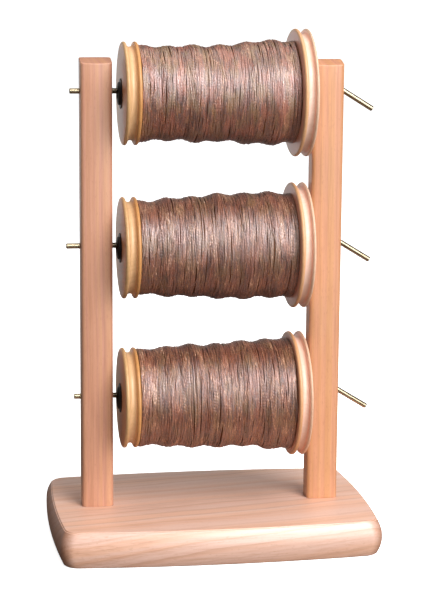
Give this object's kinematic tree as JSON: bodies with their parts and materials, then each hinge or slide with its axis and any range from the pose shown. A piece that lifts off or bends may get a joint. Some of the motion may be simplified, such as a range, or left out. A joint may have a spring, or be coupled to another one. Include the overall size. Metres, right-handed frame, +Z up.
{
  "type": "upright lazy kate",
  "caption": "Free-standing wooden rack that holds spinning-wheel bobbins of yarn on bent brass rods between two uprights, so that they turn freely as the yarn is drawn off.",
  "frame": {"origin": "centre of the base's flat underside, on the surface it stands on", "axes": "+Z up; X along the rods, with the rods' bent ends and the large whorls at +X; the front is at -Y"},
  "size_m": [0.241, 0.164, 0.3771],
  "materials": {
    "base_wood": "satin lacquered pale pinkish hardwood, grain along the base",
    "upright_wood": "satin lacquered pinkish hardwood, grain upright",
    "bobbin_wood": "satin lacquered yellowish turned wood",
    "brass": "drawn brass rod, lightly tarnished",
    "black_nylon": "moulded black nylon",
    "yarn": "handspun heathered brown yarn with a slight lustre",
    "steel": "plain steel wood screws"
  },
  "bodies": {
    "frame": {"base": "base_wood", "left_upright": "upright_wood", "right_upright": "upright_wood", "upright_screws": "steel"},
    "top_rod": {"top_rod": "brass"},
    "middle_rod": {"middle_rod": "brass"},
    "bottom_rod": {"bottom_rod": "brass"},
    "top_bobbin": {"top_core": "bobbin_wood", "top_small_whorl": "bobbin_wood", "top_large_whorl": "bobbin_wood", "top_left_bush": "black_nylon", "top_right_bush": "black_nylon", "top_yarn": "yarn"},
    "middle_bobbin": {"middle_core": "bobbin_wood", "middle_small_whorl": "bobbin_wood", "middle_large_whorl": "bobbin_wood", "middle_left_bush": "black_nylon", "middle_right_bush": "black_nylon", "middle_yarn": "yarn"},
    "bottom_bobbin": {"bottom_core": "bobbin_wood", "bottom_small_whorl": "bobbin_wood", "bottom_large_whorl": "bobbin_wood", "bottom_left_bush": "black_nylon", "bottom_right_bush": "black_nylon", "bottom_yarn": "yarn"}
  },
  "joints": [
    {"name": "top_rod_slide", "type": "slide", "parent": "frame", "child": "top_rod", "axis": [1, 0, 0], "range_m": [0, 0.185]},
    {"name": "middle_rod_slide", "type": "slide", "parent": "frame", "child": "middle_rod", "axis": [1, 0, 0], "range_m": [0, 0.185]},
    {"name": "bottom_rod_slide", "type": "slide", "parent": "frame", "child": "bottom_rod", "axis": [1, 0, 0], "range_m": [0, 0.185]},
    {"name": "top_bobbin_spin", "type": "hinge", "parent": "frame", "child": "top_bobbin", "pos_m": [0, -0.002, 0.3308], "axis": [1, 0, 0], "continuous": true},
    {"name": "middle_bobbin_spin", "type": "hinge", "parent": "frame", "child": "middle_bobbin", "pos_m": [0, -0.002, 0.2188], "axis": [1, 0, 0], "continuous": true},
    {"name": "bottom_bobbin_spin", "type": "hinge", "parent": "frame", "child": "bottom_bobbin", "pos_m": [0, -0.002, 0.1068], "axis": [1, 0, 0], "continuous": true}
  ]
}
